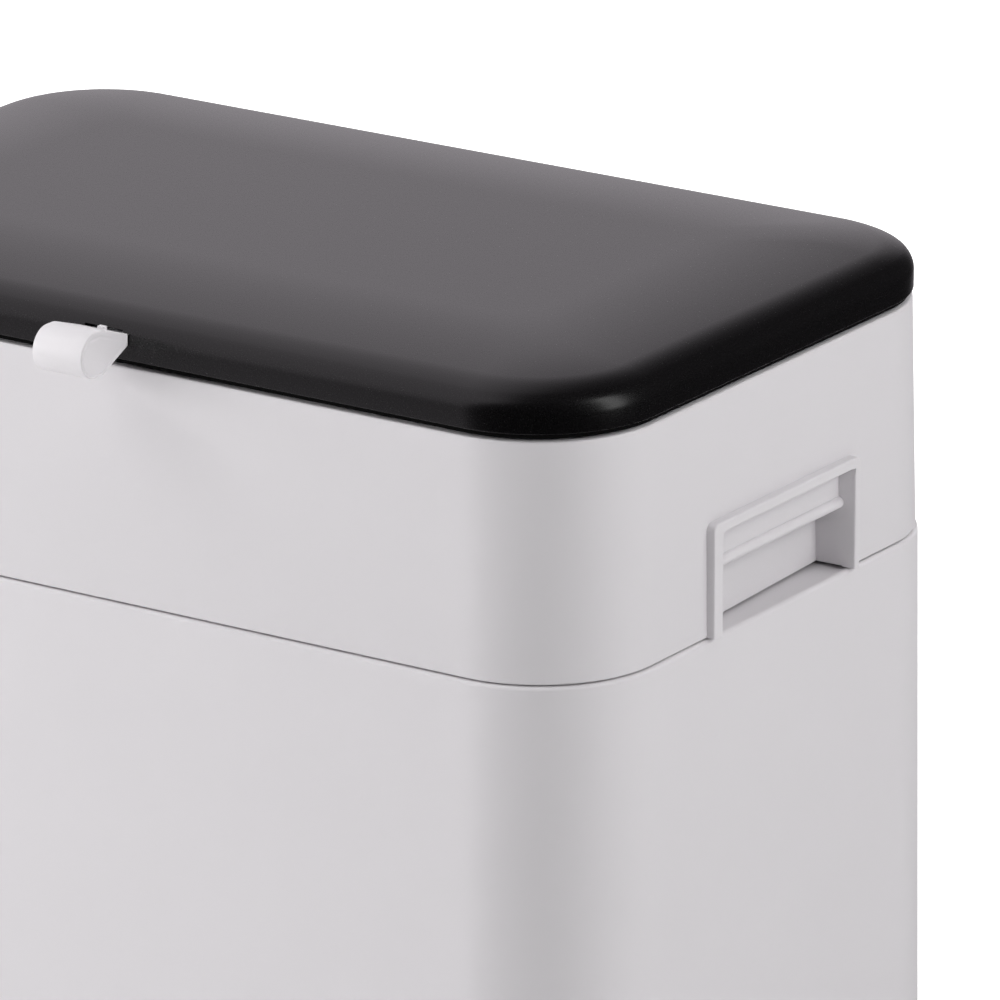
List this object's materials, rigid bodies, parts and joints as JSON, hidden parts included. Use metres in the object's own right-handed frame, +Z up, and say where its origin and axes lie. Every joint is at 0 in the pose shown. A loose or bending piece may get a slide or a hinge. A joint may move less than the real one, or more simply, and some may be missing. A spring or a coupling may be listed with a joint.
{
  "type": "kitchen bin",
  "caption": "Rounded rectangular kitchen bin with a lift-off upper frame, side grips, inner bucket, hinged lid and lever latch.",
  "frame": {"origin": "on the floor, under the middle of the bin's box, with the latch and the hinges counted", "axes": "+X to the bin's right seen from the front, +Y to its back, +Z up; the latch is at the front"},
  "size_m": [0.3984, 0.2846, 0.4118],
  "materials": {
    "body_grey": "fine matte moulded polypropylene",
    "inner_grey": "plain moulded polypropylene",
    "charcoal": "satin moulded plastic",
    "latch_white": "satin white",
    "latch_core": "satin white",
    "rubber": "soft black",
    "steel": "zinc plated"
  },
  "bodies": {
    "casing": {"lower_body": "body_grey", "base_plate": "inner_grey", "foot_front_left": "rubber", "foot_front_right": "rubber", "foot_back_left": "rubber", "foot_back_right": "rubber", "base_screw_front_left": "steel", "base_screw_front_right": "steel", "base_screw_back_left": "steel", "base_screw_back_right": "steel"},
    "bucket": {"inner_bucket": "inner_grey"},
    "frame": {"upper_frame": "body_grey", "hinge_pin_left": "steel", "hinge_pin_right": "steel"},
    "lid": {"lid_shell": "charcoal", "lid_inner_panel": "inner_grey", "lid_seal": "rubber", "lid_screw_1": "steel", "lid_screw_2": "steel", "lid_screw_3": "steel", "lid_screw_4": "steel", "lid_screw_5": "steel", "lid_screw_6": "steel", "latch_pin": "steel", "latch_spring": "steel"},
    "latch": {"latch_shell": "latch_white", "latch_lever": "latch_core"}
  },
  "joints": [
    {"name": "bucket_lift", "type": "slide", "parent": "casing", "child": "bucket", "axis": [0, 0, 1], "range_m": [0, 0.06]},
    {"name": "frame_lift", "type": "slide", "parent": "casing", "child": "frame", "axis": [0, 0, 1], "range_m": [0, 0.03]},
    {"name": "lid_hinge", "type": "hinge", "parent": "frame", "child": "lid", "pos_m": [0, 0.1373, 0.392], "axis": [-1, 0, 0], "range_deg": [0, 100]},
    {"name": "latch_hinge", "type": "hinge", "parent": "lid", "child": "latch", "pos_m": [0, -0.1067, 0.398], "axis": [-1, 0, 0], "range_deg": [0, 14], "stiffness_Nm_per_rad": 0.02, "springref_deg": -11.46, "deforming": ["latch_spring"]}
  ]
}
